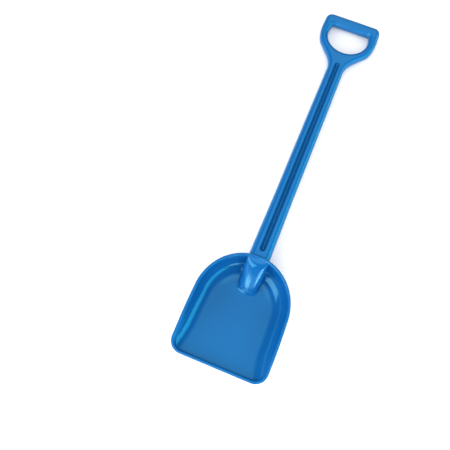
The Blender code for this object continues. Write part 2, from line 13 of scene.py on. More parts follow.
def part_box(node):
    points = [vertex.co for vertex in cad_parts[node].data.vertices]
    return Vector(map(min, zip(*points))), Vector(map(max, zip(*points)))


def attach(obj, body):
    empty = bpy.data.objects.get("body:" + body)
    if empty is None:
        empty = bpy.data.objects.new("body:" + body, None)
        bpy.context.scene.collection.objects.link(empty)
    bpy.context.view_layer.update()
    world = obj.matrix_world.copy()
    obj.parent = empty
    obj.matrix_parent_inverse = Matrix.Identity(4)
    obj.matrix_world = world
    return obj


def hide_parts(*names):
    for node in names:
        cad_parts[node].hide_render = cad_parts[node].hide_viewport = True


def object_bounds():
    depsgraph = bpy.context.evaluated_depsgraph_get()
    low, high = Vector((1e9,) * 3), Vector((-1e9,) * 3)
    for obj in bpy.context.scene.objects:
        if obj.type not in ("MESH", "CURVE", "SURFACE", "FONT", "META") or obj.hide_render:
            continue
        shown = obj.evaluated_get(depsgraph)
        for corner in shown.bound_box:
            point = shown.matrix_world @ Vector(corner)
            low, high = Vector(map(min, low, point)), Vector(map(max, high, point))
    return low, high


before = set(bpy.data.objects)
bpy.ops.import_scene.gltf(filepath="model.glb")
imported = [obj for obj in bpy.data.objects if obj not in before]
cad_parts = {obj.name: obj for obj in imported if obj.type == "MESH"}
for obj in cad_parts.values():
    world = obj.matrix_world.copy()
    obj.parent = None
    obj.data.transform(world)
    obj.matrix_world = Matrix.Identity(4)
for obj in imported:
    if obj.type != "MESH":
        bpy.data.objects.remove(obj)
CAD_BOX = [list(corner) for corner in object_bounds()]

# Driving dimensions, read from the frame
LOW, HIGH = (Vector(corner) for corner in CAD_BOX)
BLADE_HIGH = Vector(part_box("blade")[1])
HANDLE_HIGH = Vector(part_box("handle")[1])
FRONT_Y = LOW.y
LENGTH = HIGH.y - LOW.y
HALF_WIDTH = BLADE_HIGH.x
RIM_Z = BLADE_HIGH.z
BLADE_END_Y = BLADE_HIGH.y - FRONT_Y
GRIP_HALF_WIDTH = HANDLE_HIGH.x

# Scoop outline
CORNER_RADIUS = 0.018
ARC_START_Y = 0.088
ARC_HALF_WIDTH = HALF_WIDTH - 0.0014
ARC_DEPTH = BLADE_END_Y - ARC_START_Y
SIDE_WIDEST_Y = 0.038

# Scoop section
RIM_WIDTH = 0.0040
BEAD_HEIGHT = 0.0034
BEAD_ROUND = 0.0016
WALL = 0.0028
LIP_DEPTH = 0.0080
HEEL_Y = 0.100
HEEL_BLEND = 0.0030
FILLET_REACH = 0.034
FILLET_SCALE = 0.0288
FILLET_POWER = 3.0
FILLET_LIMIT = 0.004
STEEP_WIDTHS = (0.0030, 0.0012)
STEEP_WIDTHS_IN = (0.0, 0.020)
FULL_FILLET_SHARE = 0.95
FAR_FRONT_Y = -0.060
LONGEST_REACH = 0.9
FLOOR_CENTRE_Y = 0.062
FLOOR_CENTRE_SHARE = 0.25
FLOOR_SHRINK = (0.787, 0.42)

# Hump over the handle's end
HUMP_HALF_WIDTH = 0.0155
HUMP_NARROWING = 0.037
HUMP_TOP_Z = RIM_Z - BEAD_ROUND - 0.0002
HUMP_TOP_SLOPE = 0.10
HUMP_BEND_Y = 0.1460
HUMP_START_SLOPE = 0.74
HUMP_STEEPENING = 2.6
HUMP_DOME = 0.0078
HUMP_DOME_LIMIT = 0.98
HUMP_SIDE_SLOPE = 6.0
HUMP_BEND_BLEND = 0.0026
HUMP_ROOT_BLEND = 0.0025
HUMP_FOOT_BLEND = 0.0030
HUMP_FOOT_YS = (0.106, 0.120)

# Socket under the hump
SOCKET_FLOOR_Z = 0.0120
SOCKET_TOP_Z = RIM_Z - 0.0038
SOCKET_FRONT_Y = 0.1245
SOCKET_SIDE_INSET = 0.0006
SOCKET_ROOF_DROP = 0.008
SOCKET_FRONT_HEIGHT = 0.002
SOCKET_LEVEL_SETBACK = 0.008
SOCKET_SLOPE_SETBACK = 0.0035
SOCKET_EDGE_ROUND = 0.0025
SOCKET_FLAT_SHARE = 0.8

# Tenon on the handle
TENON_HALF_WIDTH = 0.0121
TENON_TOP_Z = 0.0308
TENON_BOTTOM_Z = 0.0153
TENON_TIP_Y = 0.132
TENON_ROOT_Y = 0.166
TENON_DOME = 0.0065
TENON_CREST_DROP = 0.0042
TENON_BEND_ADVANCE = 0.001
TENON_LEAST_HEIGHT = 0.001
FIT_GAP = 0.0003

# Handle
SHAFT_START_THICKNESS = 0.020
GRIP_THICKNESS = 0.0155
EDGE_ROUND_SHARE = 0.40
SHAFT_START_CENTRE_Z = 0.0242
RIM_FOLLOW_LENGTH = 0.03
SHAFT_WIDTHS_Y = (0.158, 0.200, 0.250, 0.350, 0.400, 0.462)
SHAFT_WIDTHS = (0.0300, 0.0290, 0.0275, 0.0265, 0.0258, 0.0246)
THROAT_Y = 0.462
GRIP_LEVEL_Y = 0.480

# D-shaped grip
GRIP_WIDEST_Y = 0.527
GRIP_WIDEST_BEND_Y = 0.5145
THROAT_BEND = (0.0255, 0.4878)
GRIP_FLANK = (0.0363, 0.5008)
GRIP_FLANK_BEND = (0.0397, 0.5053)
GRIP_CORNER_RADIUS = 0.0095
GRIP_CORNER_INSET = 0.0005
HOLE_BOTTOM_Y = 0.4948
HOLE_WIDEST_Y = 0.521
HOLE_TOP_Y = 0.5338
HOLE_HALF_WIDTH = 0.0304
HOLE_CORNER_RADIUS = 0.0045
HOLE_CORNER_INSET = 0.0012

# Groove along the shaft, front and back
GROOVE_START_Y = 0.166
GROOVE_END_Y = 0.4750
GROOVE_START_WIDTH = 0.0082
GROOVE_END_WIDTH = 0.0076
GROOVE_DEPTH_SHARE = 0.36
GROOVE_EDGE = 0.0006
GROOVE_ROUND_ANGLES = np.linspace(12, 84, 8)

# Corners of a unit square, in order
SQUARE = ((-1, -1), (1, -1), (1, 1), (-1, 1))

# Screws
SCREW_YS = {"rear_socket_screw": 0.1500, "front_socket_screw": 0.1390}
SCREW_SHANK_RADIUS = 0.00175
SCREW_SHANK_LENGTH = 0.0105
SCREW_HEAD_RADIUS = 0.0035
SCREW_HEAD_HEIGHT = 0.0022
SCREW_HEAD_CHAMFER = 0.0002
SCREW_DOME_ANGLES = np.linspace(12, 90, 9)
SCREW_DOME_SHARE = 0.55
SCREW_PITCH = 0.0012
SCREW_THREAD_DEPTH = 0.00035
SCREW_TIP_LENGTH = 0.002
SCREW_TIP_SHARE = 0.8
SCREW_TIP_RADIUS = 0.0004
SCREW_HOLE_START = 0.002
SCREW_RECESS_HALF_SIZE = (0.0021, 0.00045)
SCREW_RECESS_LEVELS = ((-0.001, 1.0), (0.0012, 0.75))

# Angles above which an edge is drawn sharp
PLASTIC_SHARP_DEG = 38
SCREW_SHARP_DEG = 30

# Mesh steps
FRONT_STEPS = 22
CORNER_STEPS = 14
SIDE_STEPS = 26
ARC_STEPS = 52
HUMP_EDGE_X = 0.0195
HUMP_STEPS = 56
HUMP_CROWDING = 0.046
HUMP_CROWDED_SHARE = 0.74
WALL_STEPS = 36
WALL_STEP_POWER = 1.9
OUTLINE_FINENESS = 4
OUTSIDE_STEPS = 12
BEAD_STEPS = 5
UNDERSIDE_ANGLES = 24
HUMP_UNDERSIDE_ANGLES = 8
HUMP_UNDERSIDE_TURNS = 12
SOCKET_STEPS = 24
TENON_ROWS = 10
TENON_STEPS = 32
FLOOR_STEPS = 16
SHAFT_STEPS = 90
SHAFT_FLAT_SHARES = (0, 0.33, 0.66)
EDGE_STEPS = 9
THROAT_STEPS = 30
GRIP_SIDE_STEPS = 16
GRIP_CORNER_STEPS = 14
GRIP_TOP_STEPS = 18
GRIP_MIDDLE_STEPS = 7
GRIP_EDGE_LIMIT = 0.98
GROOVE_END_STEPS = 14
GROOVE_EDGE_STEPS = 5
SCREW_SIDES = 48
SCREW_HOLE_SIDES = 40


# ---------------------------------------------------------------- shared helpers

def smooth_max(a, b, blend):
    """Larger of a and b, rounded off where they differ by less than blend."""
    share = np.maximum(blend - np.abs(a - b), 0.0) / blend
    return np.maximum(a, b) + share * share * blend / 4


def smooth_min(a, b, blend):
    """Smaller of a and b, rounded off where they differ by less than blend."""
    return -smooth_max(-a, -b, blend)


def bezier(p0, p1, p2, p3, steps):
    """Points of a cubic curve, without its first point."""
    t = np.linspace(0.0, 1.0, steps + 1)[1:, None]
    p0, p1, p2, p3 = (np.array(p) for p in (p0, p1, p2, p3))
    return (1 - t) ** 3 * p0 + 3 * (1 - t) ** 2 * t * p1 + 3 * (1 - t) * t * t * p2 + t ** 3 * p3


def arc(centre, radius, start_deg, end_deg, steps):
    """Points of a circular arc, without its first point."""
    angles = np.radians(np.linspace(start_deg, end_deg, steps + 1)[1:])
    return np.stack([centre[0] + radius * np.cos(angles), centre[1] + radius * np.sin(angles)], 1)


def distance_to_outline(points, outline, chunk=1500):
    """Distance from each point to the nearest place on a closed outline."""
    along = np.roll(outline, -1, axis=0) - outline
    squares = (along * along).sum(1)
    parts = []
    for first in range(0, len(points), chunk):
        offset = points[first:first + chunk, None, :] - outline[None, :, :]
        share = np.clip((offset * along).sum(2) / squares, 0.0, 1.0)
        parts.append(np.linalg.norm(offset - share[:, :, None] * along, axis=2).min(1))
    return np.concatenate(parts)


def add_mesh(name, vertices, faces):
    """Mesh object from points whose y counts from the scoop's front edge."""
    points = np.array(vertices, dtype=float)
    points[:, 1] += FRONT_Y
    mesh = bpy.data.meshes.new(name)
    mesh.from_pydata([tuple(map(float, p)) for p in points], [], faces)
    obj = bpy.data.objects.new(name, mesh)
    bpy.context.scene.collection.objects.link(obj)
    return obj


def add_piece(obj, node, material, sharp_deg):
    """Shade a finished piece, give it its material and let it stand for its CAD node."""
    obj.data.shade_smooth()
    obj.data.set_sharp_from_angle(angle=math.radians(sharp_deg))
    obj.data.materials.clear()
    obj.data.materials.append(material)
    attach(obj, "root")
    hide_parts(node)


def ring_faces(first, second, count):
    """Quads between two closed rings of vertices that start at the given indices."""
    return [(first + i, first + (i + 1) % count, second + (i + 1) % count, second + i) for i in range(count)]


def stack_rings(rings):
    """Closed solid through a list of rings, capped at both ends."""
    count = len(rings[0])
    faces = [tuple(reversed(range(count)))]
    for level in range(len(rings) - 1):
        faces += ring_faces(level * count, (level + 1) * count, count)
    last = (len(rings) - 1) * count
    faces.append(tuple(range(last, last + count)))
    return np.concatenate(rings), faces


def apply_boolean(obj, operation, tool):
    """Join or cut obj with tool, and remove the tool."""
    modifier = obj.modifiers.new(operation.lower(), "BOOLEAN")
    modifier.operation = operation
    modifier.solver = "EXACT"
    modifier.object = tool
    bpy.context.view_layer.update()
    evaluated = obj.evaluated_get(bpy.context.evaluated_depsgraph_get())
    result = bpy.data.meshes.new_from_object(evaluated)
    obj.modifiers.clear()
    obj.data = result
    bpy.data.objects.remove(tool)


# ---------------------------------------------------------------- scoop

def side_x(y, inset):
    """Half-width of the scoop's near-parallel side."""
    taper = (HALF_WIDTH - ARC_HALF_WIDTH) * ((y - SIDE_WIDEST_Y) / (ARC_START_Y - SIDE_WIDEST_Y)) ** 2
    return HALF_WIDTH - inset - (taper if y > SIDE_WIDEST_Y else 0.0)


def rear_y(x, inset=0.0):
    """Y of the scoop's rounded back edge at x."""
    ratio = x / (ARC_HALF_WIDTH - inset)
    return ARC_START_Y + (ARC_DEPTH - inset) * math.sqrt(1 - ratio * ratio)


def hump_lines():
    """X of the mesh lines along the hump, closest together at its steep sides."""
    share = np.linspace(0, 1, HUMP_STEPS + 1)
    bent = share + HUMP_CROWDING * np.sin(2 * math.pi * (share - HUMP_CROWDED_SHARE))
    bent = (bent - bent[0]) / (bent[-1] - bent[0])
    return (HUMP_EDGE_X * bent)[::-1].tolist()


def scoop_outline(inset, finer=1):
    """Closed outline of the scoop, drawn in by inset, from the front centre round by +X."""
    flat = HALF_WIDTH - CORNER_RADIUS
    front = FRONT_STEPS * finer
    half = [(flat * i / front, inset) for i in range(front + 1)]
    half += arc((flat, CORNER_RADIUS), CORNER_RADIUS - inset, -90, 0, CORNER_STEPS * finer).tolist()
    for y in np.linspace(CORNER_RADIUS, ARC_START_Y, SIDE_STEPS * finer + 1)[1:]:
        half.append((side_x(y, inset), y))
    end_angle = math.acos(HUMP_EDGE_X / ARC_HALF_WIDTH)
    for angle in np.linspace(0, end_angle, ARC_STEPS * finer + 1)[1:-1]:
        x = (ARC_HALF_WIDTH - inset) * math.cos(angle)
        half.append((x, rear_y(x, inset)))
    half += [(x, rear_y(x, inset)) for x in hump_lines()]
    mirrored = [(-x, y) for x, y in reversed(half[1:-1])]
    return np.array(half + mirrored)


def floor_height(y):
    """Upper face of the flat floor, rising from the heel to the lip."""
    rise = (RIM_Z - LIP_DEPTH - WALL) / (HEEL_Y - RIM_WIDTH)
    return smooth_max(WALL + rise * (HEEL_Y - y), WALL + 0.0 * y, HEEL_BLEND)


def fillet_height(depth_in):
    """Height of the wide curve between floor and wall, running straight on near the rim."""
    share = 1 - np.clip(depth_in, FILLET_LIMIT, FILLET_REACH) / FILLET_REACH
    rest = 1 - share ** FILLET_POWER
    height = FILLET_SCALE * (1 - rest ** (1 / FILLET_POWER))
    top_share = 1 - FILLET_LIMIT / FILLET_REACH
    top_rest = 1 - top_share ** FILLET_POWER
    slope = top_share ** (FILLET_POWER - 1) * top_rest ** (1 / FILLET_POWER - 1)
    slope *= FILLET_SCALE / FILLET_REACH
    return height + slope * np.maximum(FILLET_LIMIT - depth_in, 0.0)


def scoop_height(y, side_in, depth_in):
    """Upper face of the scoop without the hump.

    side_in is the distance from the sides and the back, depth_in the distance from the whole rim.
    """
    floor = floor_height(y)
    depth = RIM_Z - BEAD_ROUND - floor
    full = fillet_height(np.zeros(1))
    fillet = fillet_height(side_in) * np.minimum(FULL_FILLET_SHARE * depth / full, 1.0)
    steep = np.clip(1 - depth_in / np.interp(side_in, STEEP_WIDTHS_IN, STEEP_WIDTHS), 0.0, 1.0) ** 2
    return floor + fillet + (depth - fillet) * steep


def hump_half_width(y):
    """The hump narrows a little towards the front."""
    return HUMP_HALF_WIDTH - HUMP_NARROWING * (rear_y(0.0, RIM_WIDTH) - y)


def crest_height(y):
    """Height of the hump's crest line below the bend, steeper and steeper towards the foot."""
    run = HUMP_BEND_Y - y
    return HUMP_TOP_Z - HUMP_START_SLOPE * run - HUMP_STEEPENING * run * np.maximum(run, 0.0)


def hump_height(x, y):
    """Upper face of the hump: flat behind the bend, then a domed slope down to the floor."""
    share = np.abs(x) / hump_half_width(y)
    dome = HUMP_DOME * (1 - np.sqrt(1 - np.minimum(share, HUMP_DOME_LIMIT) ** 2))
    side = HUMP_SIDE_SLOPE * np.maximum(share - HUMP_DOME_LIMIT, 0.0) * hump_half_width(y)
    top = HUMP_TOP_Z - HUMP_TOP_SLOPE * (BLADE_END_Y - RIM_WIDTH - y)
    return smooth_min(top - side, crest_height(y) - dome - side, HUMP_BEND_BLEND)


def root_blend(y):
    """Width of the fillet round the hump, widest at its foot."""
    return np.interp(y, HUMP_FOOT_YS, (HUMP_FOOT_BLEND, HUMP_ROOT_BLEND))


def side_outline():
    """Inner edge of the rim along the sides and the back, carried on far in front of the scoop."""
    rim = scoop_outline(RIM_WIDTH, finer=OUTLINE_FINENESS)
    rim = rim[rim[:, 1] >= CORNER_RADIUS]
    half = HALF_WIDTH - RIM_WIDTH
    return np.concatenate([[(half, FAR_FRONT_Y)], rim, [(-half, FAR_FRONT_Y)]])


def scoop_rows():
    """Rows of points on the upper and the lower face, from the rim to the middle of the floor."""
    start = scoop_outline(RIM_WIDTH)
    rim, sides = scoop_outline(RIM_WIDTH, finer=OUTLINE_FINENESS), side_outline()
    shrink = np.interp(np.abs(start[:, 0]), [HUMP_EDGE_X, HALF_WIDTH], FLOOR_SHRINK)
    end_y = FLOOR_CENTRE_Y + FLOOR_CENTRE_SHARE * (start[:, 1] - FLOOR_CENTRE_Y)
    end = np.stack([start[:, 0] * shrink, end_y], 1)
    reach = np.minimum(FILLET_REACH / np.linalg.norm(end - start, axis=1), LONGEST_REACH)
    shares = [reach * w ** WALL_STEP_POWER for w in np.linspace(0, 1, WALL_STEPS + 1)]
    shares += [reach + (1 - reach) * f for f in np.linspace(0, 1, FLOOR_STEPS + 1)[1:]]
    upper, lower = [], []
    for share in shares:
        flat = start + (end - start) * share[:, None]
        x, y = flat[:, 0], flat[:, 1]
        side_in, depth_in = distance_to_outline(flat, sides), distance_to_outline(flat, rim)
        z = smooth_max(scoop_height(y, side_in, depth_in), hump_height(x, y), root_blend(y))
        upper.append(np.stack([x, y, z], 1))
        lower.append(np.stack([x, y, underside(x, y, side_in, depth_in)], 1))
    return upper, lower


def underside(x, y, side_in, depth_in):
    """Lower face of the whole scoop, kept under the rolled rim."""
    z = smooth_max(scoop_underside(y, side_in, depth_in), hump_underside(x, y), root_blend(y))
    return np.minimum(z, RIM_Z - BEAD_HEIGHT)


def scoop_underside(y, side_in, depth_in):
    """Lower face of the scoop without the hump, one wall below the upper face all along."""
    nearest = np.arcsin(np.clip(-depth_in / WALL, 0.0, 1.0))
    lowest = np.full(len(y), np.inf)
    for share in np.linspace(0, 1, UNDERSIDE_ANGLES):
        angle = nearest + (math.pi / 2 - nearest) * share
        step = WALL * np.sin(angle)
        above = scoop_height(y, np.maximum(side_in + step, 0.0), np.maximum(depth_in + step, 0.0))
        lowest = np.minimum(lowest, above - WALL * np.cos(angle))
    return lowest


def hump_underside(x, y):
    """Lower face of the hump, one wall below its upper face."""
    lowest = np.full(len(y), np.inf)
    for angle in np.linspace(0, math.pi / 2, HUMP_UNDERSIDE_ANGLES):
        for turn in np.linspace(0, 2 * math.pi, HUMP_UNDERSIDE_TURNS, endpoint=False):
            step = WALL * math.sin(angle)
            above = hump_height(x + step * math.cos(turn), y + step * math.sin(turn))
            lowest = np.minimum(lowest, above - WALL * math.cos(angle))
    return lowest


def bead_rings():
    """Rounded rim, from its lower outer edge over the top to its inner edge."""
    corners = [((BEAD_ROUND, BEAD_ROUND - BEAD_HEIGHT), 270, 180), ((BEAD_ROUND, -BEAD_ROUND), 180, 90)]
    corners.append(((RIM_WIDTH - BEAD_ROUND, -BEAD_ROUND), 90, 0))
    profile = []
    for (inset, rise), start, end in corners:
        for angle in np.radians(np.linspace(start, end, BEAD_STEPS + 1)):
            profile.append((inset + BEAD_ROUND * math.cos(angle), rise + BEAD_ROUND * math.sin(angle)))
    rings = []
    for inset, rise in profile[:-1]:
        ring = scoop_outline(inset)
        rings.append(np.column_stack([ring, np.full(len(ring), RIM_Z + rise)]))
    return rings


def scoop_shell():
    """Thin-walled scoop with its rolled rim and the hollow hump."""
    upper, lower = scoop_rows()
    outside = []
    for share in np.linspace(1, 0, OUTSIDE_STEPS + 1)[:-1]:
        ring = scoop_outline(RIM_WIDTH - WALL * share)
        x, y = ring[:, 0], ring[:, 1]
        side_in = np.where(y < CORNER_RADIUS, HALF_WIDTH - RIM_WIDTH - np.abs(x), -WALL * share)
        z = underside(x, y, side_in, np.full(len(ring), -WALL * share))
        outside.append(np.column_stack([ring, z]))
    vertices, faces = stack_rings(list(reversed(outside + lower)) + bead_rings() + upper)
    return add_mesh("blade_moulding", vertices, faces)


def socket_block():
    """Solid under the hump, in which the socket is cut."""
    level_y = HUMP_BEND_Y + SOCKET_LEVEL_SETBACK
    slope_y = HUMP_BEND_Y + SOCKET_SLOPE_SETBACK
    rings = []
    back_half = HUMP_HALF_WIDTH - SOCKET_SIDE_INSET
    for side in np.linspace(-1, 1, SOCKET_STEPS + 1):
        back_y = rear_y(side * back_half) - FIT_GAP
        round_share = max((abs(side) - SOCKET_FLAT_SHARE) / (1 - SOCKET_FLAT_SHARE), 0.0)
        lift = SOCKET_EDGE_ROUND * (1 - math.sqrt(1 - round_share ** 2))
        low = SOCKET_FLOOR_Z + lift
        section = [(back_y, low), (back_y, SOCKET_TOP_Z), (level_y, SOCKET_TOP_Z)]
        section.append((slope_y, crest_height(slope_y) - SOCKET_ROOF_DROP))
        front_top = max(crest_height(SOCKET_FRONT_Y) - SOCKET_ROOF_DROP, low + SOCKET_FRONT_HEIGHT)
        section.append((SOCKET_FRONT_Y, front_top))
        section.append((SOCKET_FRONT_Y, low))
        ring = []
        for y, z in section:
            half = min(hump_half_width(y), HUMP_HALF_WIDTH) - SOCKET_SIDE_INSET
            ring.append((side * half, y, z))
        rings.append(np.array(ring))
    vertices, faces = stack_rings(rings)
    return add_mesh("socket_block", vertices, faces)


def tenon_solid(gap, back_y):
    """Handle's end, or with a gap around it the space for it in the socket."""
    half = TENON_HALF_WIDTH + gap
    tip_y = TENON_TIP_Y - gap
    bend_y = HUMP_BEND_Y - TENON_BEND_ADVANCE
    rows_y = list(np.linspace(tip_y, bend_y, TENON_ROWS)) + [back_y]
    rings = []
    for y in rows_y:
        top = []
        for side in np.sin(np.linspace(-math.pi / 2, math.pi / 2, TENON_STEPS + 1)):
            x = side * (half - HUMP_NARROWING * max(HUMP_BEND_Y - y, 0.0))
            dome = TENON_DOME * (1 - math.sqrt(1 - min(abs(side), HUMP_DOME_LIMIT) ** 2))
            crest = min(crest_height(y) - TENON_CREST_DROP + gap, TENON_TOP_Z + gap)
            top.append((x, y, max(crest - dome, TENON_BOTTOM_Z + TENON_LEAST_HEIGHT)))
        bottom = [(-top[0][0], y, TENON_BOTTOM_Z - gap), (top[0][0], y, TENON_BOTTOM_Z - gap)]
        rings.append(np.array(top + bottom))
    vertices, faces = stack_rings(rings)
    return add_mesh("tenon", vertices, faces)


def turned_rings(profile, y, base_z, sides):
    """Closed rings of a turned shape that stands at y on the centre line."""
    angles = np.linspace(0, 2 * math.pi, sides, endpoint=False)
    rings = []
    for radius, z in profile:
        circle = [radius * np.cos(angles), y + radius * np.sin(angles), np.full(sides, base_z + z)]
        rings.append(np.column_stack(circle))
    return rings


def screw_hole(y):
    """Clearance for one screw's shank, through the socket floor and into the tenon."""
    radius = SCREW_SHANK_RADIUS + FIT_GAP
    profile = [(radius, -SCREW_HOLE_START), (radius, SCREW_SHANK_LENGTH)]
    vertices, faces = stack_rings(turned_rings(profile, y, SOCKET_FLOOR_Z, SCREW_HOLE_SIDES))
    return add_mesh("screw_hole", vertices, faces)


def make_blade(material):
    """Scoop with the socket that takes the handle."""
    blade = scoop_shell()
    apply_boolean(blade, "UNION", socket_block())
    apply_boolean(blade, "DIFFERENCE", tenon_solid(FIT_GAP, TENON_ROOT_Y))
    for y in SCREW_YS.values():
        apply_boolean(blade, "DIFFERENCE", screw_hole(y))
    add_piece(blade, "blade", material, PLASTIC_SHARP_DEG)


# ---------------------------------------------------------------- handle

def shaft_half_width(y):
    """Half-width of the tapering shaft."""
    return float(np.interp(y, SHAFT_WIDTHS_Y, SHAFT_WIDTHS)) / 2


def thickness(y):
    """Thickness of the handle, front to back."""
    return np.interp(y, [BLADE_END_Y, THROAT_Y], [SHAFT_START_THICKNESS, GRIP_THICKNESS])


def centre_z(y):
    """Height of the handle's middle plane: it slopes down to the grip, which lies level."""
    drop = (SHAFT_START_CENTRE_Z - GRIP_THICKNESS / 2) / (GRIP_LEVEL_Y - BLADE_END_Y)
    sloping = SHAFT_START_CENTRE_Z - drop * (y - BLADE_END_Y)
    return smooth_max(sloping, GRIP_THICKNESS / 2 + 0.0 * y, 0.001)


def grip_outer_half():
    """Outer edge of the throat and the D on the +X side, from the throat to the top centre."""
    throat = (shaft_half_width(THROAT_Y), THROAT_Y)
    points = [np.array([throat])]
    throat_bend = (throat[0], GRIP_LEVEL_Y)
    points.append(bezier(throat, throat_bend, THROAT_BEND, GRIP_FLANK, THROAT_STEPS))
    widest = (GRIP_HALF_WIDTH, GRIP_WIDEST_Y)
    widest_bend = (GRIP_HALF_WIDTH, GRIP_WIDEST_BEND_Y)
    points.append(bezier(GRIP_FLANK, GRIP_FLANK_BEND, widest_bend, widest, GRIP_SIDE_STEPS))
    corner = (GRIP_HALF_WIDTH - GRIP_CORNER_RADIUS - GRIP_CORNER_INSET, LENGTH - GRIP_CORNER_RADIUS)
    points.append(arc(corner, GRIP_CORNER_RADIUS, 0, 90, GRIP_CORNER_STEPS))
    top = np.linspace(corner[0], 0.0, GRIP_TOP_STEPS + 1)[1:]
    points.append(np.column_stack([top, np.full(len(top), LENGTH)]))
    return np.concatenate(points)


def hole_half(count):
    """Edge of the hand hole on the +X side, from the bottom centre to the top centre."""
    fine = []
    depth = HOLE_WIDEST_Y - HOLE_BOTTOM_Y
    for angle in np.linspace(0, math.pi / 2, 400):
        fine.append((HOLE_HALF_WIDTH * math.sin(angle), HOLE_WIDEST_Y - depth * math.cos(angle)))
    corner = (HOLE_HALF_WIDTH - HOLE_CORNER_RADIUS - HOLE_CORNER_INSET, HOLE_TOP_Y - HOLE_CORNER_RADIUS)
    fine += arc(corner, HOLE_CORNER_RADIUS, 0, 90, 80).tolist()
    fine += [(x, HOLE_TOP_Y) for x in np.linspace(corner[0], 0, 100)[1:]]
    fine = np.array(fine)
    run = np.concatenate([[0], np.cumsum(np.linalg.norm(np.diff(fine, axis=0), axis=1))])
    wanted = np.linspace(0, run[-1], count)
    return np.column_stack([np.interp(wanted, run, fine[:, 0]), np.interp(wanted, run, fine[:, 1])])


def edge_shares():
    """Steps across a rounded edge, from 0 at the edge to 1 where the face turns flat."""
    return [1 - math.cos(math.pi / 2 * i / EDGE_STEPS) for i in range(EDGE_STEPS + 1)]


def shaft_row(y):
    """X of the points across the shaft, from the centre to the +X edge."""
    half = shaft_half_width(y)
    edge = EDGE_ROUND_SHARE * thickness(y)
    flat = [(half - edge) * share for share in SHAFT_FLAT_SHARES]
    return flat + [half - edge * share for share in reversed(edge_shares())]


def shaft_plan():
    """Rows of points across the +X half of the shaft; the first one follows the scoop's rim."""
    half_rows = []
    for y in np.linspace(BLADE_END_Y, THROAT_Y, SHAFT_STEPS + 1):
        relax = max(1 - (y - BLADE_END_Y) / RIM_FOLLOW_LENGTH, 0.0)
        row = []
        for x in shaft_row(y):
            sag = relax * (rear_y(0.0) - rear_y(x)) - FIT_GAP * relax
            row.append((x, y - sag))
        half_rows.append(row)
    return np.array(half_rows)


def grip_plan():
    """Stations round the +X half of the D, each a line from the hand hole to the outer edge."""
    shaft_top = [(x, THROAT_Y) for x in shaft_row(THROAT_Y)[:-1]]
    outer = np.concatenate([np.array(shaft_top), grip_outer_half()])
    inner = hole_half(len(outer))
    edge = EDGE_ROUND_SHARE * GRIP_THICKNESS
    stations = []
    for hole_point, outer_point in zip(inner, outer):
        span = np.linalg.norm(outer_point - hole_point)
        reach = min(edge, span / 2 * GRIP_EDGE_LIMIT) / span
        middle = np.linspace(reach, 1 - reach, GRIP_MIDDLE_STEPS + 1)[1:-1].tolist()
        steps = [reach * s for s in edge_shares()] + middle
        steps += [1 - reach * s for s in reversed(edge_shares())]
        stations.append([hole_point + (outer_point - hole_point) * s for s in steps])
    return np.array(stations)


def handle_outlines():
    """Outer edge of the handle and edge of the hand hole, for measuring the rounded edges."""
    ys = np.linspace(ARC_START_Y, THROAT_Y, 200)[:-1]
    side = np.array([(shaft_half_width(y), y) for y in ys])
    outer = np.concatenate([side, grip_outer_half()])
    outer = np.concatenate([outer, outer[::-1][1:] * [-1, 1]])
    hole = hole_half(500)
    return outer, np.concatenate([hole, hole[::-1][1:-1] * [-1, 1]])


def plan_quads(grids):
    """Points and upward quads of the plan grids and of their mirror images across x = 0."""
    points = []
    index = {}

    def vertex(x, y):
        key = (round(x, 6), round(y, 6))
        if key not in index:
            index[key] = len(points)
            points.append(key)
        return index[key]

    quads = []
    for mirror in (1, -1):
        for grid in grids:
            ids = [[vertex(mirror * p[0], p[1]) for p in row] for row in grid]
            for a, b in zip(ids, ids[1:]):
                for i in range(len(a) - 1):
                    quad = (a[i], a[i + 1], b[i + 1], b[i])
                    quads.append(quad if mirror == 1 else tuple(reversed(quad)))
    return np.array(points), quads


def handle_body():
    """Shaft, throat and D in one closed solid with rounded edges."""
    flat, quads = plan_quads([shaft_plan(), grip_plan()])
    outer, hole_outline = handle_outlines()
    depth_in = np.minimum(distance_to_outline(flat, outer), distance_to_outline(flat, hole_outline))
    half = thickness(flat[:, 1]) / 2
    edge = 2 * EDGE_ROUND_SHARE * half
    rise = half - edge + np.sqrt(edge ** 2 - np.maximum(edge - depth_in, 0.0) ** 2)
    middle = centre_z(flat[:, 1])
    front = np.column_stack([flat, middle + rise])
    back = np.column_stack([flat, middle - rise])
    count = len(flat)
    faces = list(quads) + [tuple(i + count for i in reversed(q)) for q in quads]
    directed = {(a, b) for quad in quads for a, b in zip(quad, quad[1:] + quad[:1])}
    for a, b in sorted(directed):
        if (b, a) not in directed:
            faces.append((b, a, a + count, b + count))
    return add_mesh("handle_moulding", np.concatenate([front, back]), faces)


